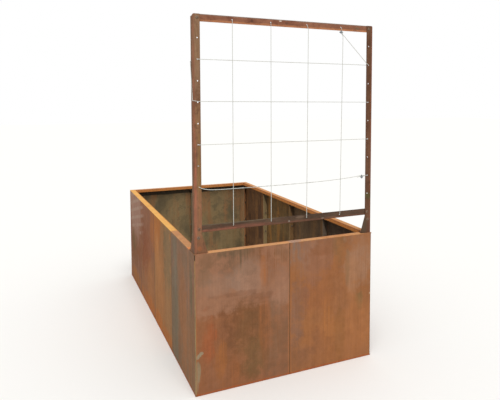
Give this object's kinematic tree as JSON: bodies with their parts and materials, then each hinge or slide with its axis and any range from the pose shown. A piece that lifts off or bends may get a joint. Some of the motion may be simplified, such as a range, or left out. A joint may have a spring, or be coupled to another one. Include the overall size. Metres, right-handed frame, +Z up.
{
  "type": "planter with climbing trellis",
  "caption": "Long open-bottomed planter of folded weathering-steel trays with a wire-laced climbing trellis bolted over one short end.",
  "frame": {"origin": "centre of the footprint, on the surface that the planter stands on", "axes": "+Z up; the long walls run along Y; the trellis stands over the short wall at -Y and faces -Y; +X is to the right for someone who looks at the trellis from outside"},
  "size_m": [1, 2, 1.83],
  "materials": {
    "weathering_steel": "matte orange-brown rust patina with vertical streaks",
    "weathering_steel_frame": "matte brown rust patina",
    "rusted_bolts": "dark rusted steel",
    "galvanised_wire": "satin galvanised"
  },
  "bodies": {
    "root": {"back_left_corner_bolt_lower": "rusted_bolts", "back_left_corner_bolt_upper": "rusted_bolts", "back_panel_1": "weathering_steel", "back_panel_2": "weathering_steel", "back_right_corner_bolt_lower": "rusted_bolts", "back_right_corner_bolt_upper": "rusted_bolts", "back_seam_1_bolt_lower": "rusted_bolts", "back_seam_1_bolt_upper": "rusted_bolts", "bracket_bolt_left": "rusted_bolts", "bracket_bolt_right": "rusted_bolts", "climbing_wire": "galvanised_wire", "frame_bolt_bottom_left": "rusted_bolts", "frame_bolt_bottom_right": "rusted_bolts", "frame_bolt_top_left": "rusted_bolts", "frame_bolt_top_right": "rusted_bolts", "front_left_corner_bolt_lower": "rusted_bolts", "front_left_corner_bolt_upper": "rusted_bolts", "front_panel_1": "weathering_steel", "front_panel_2": "weathering_steel", "front_right_corner_bolt_lower": "rusted_bolts", "front_right_corner_bolt_upper": "rusted_bolts", "front_seam_1_bolt_lower": "rusted_bolts", "front_seam_1_bolt_upper": "rusted_bolts", "left_panel_1": "weathering_steel", "left_panel_2": "weathering_steel", "left_panel_3": "weathering_steel", "left_panel_4": "weathering_steel", "left_seam_1_bolt_lower": "rusted_bolts", "left_seam_1_bolt_upper": "rusted_bolts", "left_seam_2_bolt_lower": "rusted_bolts", "left_seam_2_bolt_upper": "rusted_bolts", "left_seam_3_bolt_lower": "rusted_bolts", "left_seam_3_bolt_upper": "rusted_bolts", "right_panel_1": "weathering_steel", "right_panel_2": "weathering_steel", "right_panel_3": "weathering_steel", "right_panel_4": "weathering_steel", "right_seam_1_bolt_lower": "rusted_bolts", "right_seam_1_bolt_upper": "rusted_bolts", "right_seam_2_bolt_lower": "rusted_bolts", "right_seam_2_bolt_upper": "rusted_bolts", "right_seam_3_bolt_lower": "rusted_bolts", "right_seam_3_bolt_upper": "rusted_bolts", "rim_bolt_left": "rusted_bolts", "rim_bolt_right": "rusted_bolts", "side_clip_nut_back": "galvanised_wire", "side_clip_nut_front": "galvanised_wire", "side_clip_saddle": "galvanised_wire", "side_clip_u_bolt": "galvanised_wire", "top_clip_nut_back": "galvanised_wire", "top_clip_nut_front": "galvanised_wire", "top_clip_saddle": "galvanised_wire", "top_clip_u_bolt": "galvanised_wire", "trellis_bottom_rail": "weathering_steel_frame", "trellis_bracket_left": "weathering_steel_frame", "trellis_bracket_right": "weathering_steel_frame", "trellis_stile_left": "weathering_steel_frame", "trellis_stile_right": "weathering_steel_frame", "trellis_top_rail": "weathering_steel_frame"}
  },
  "joints": []
}
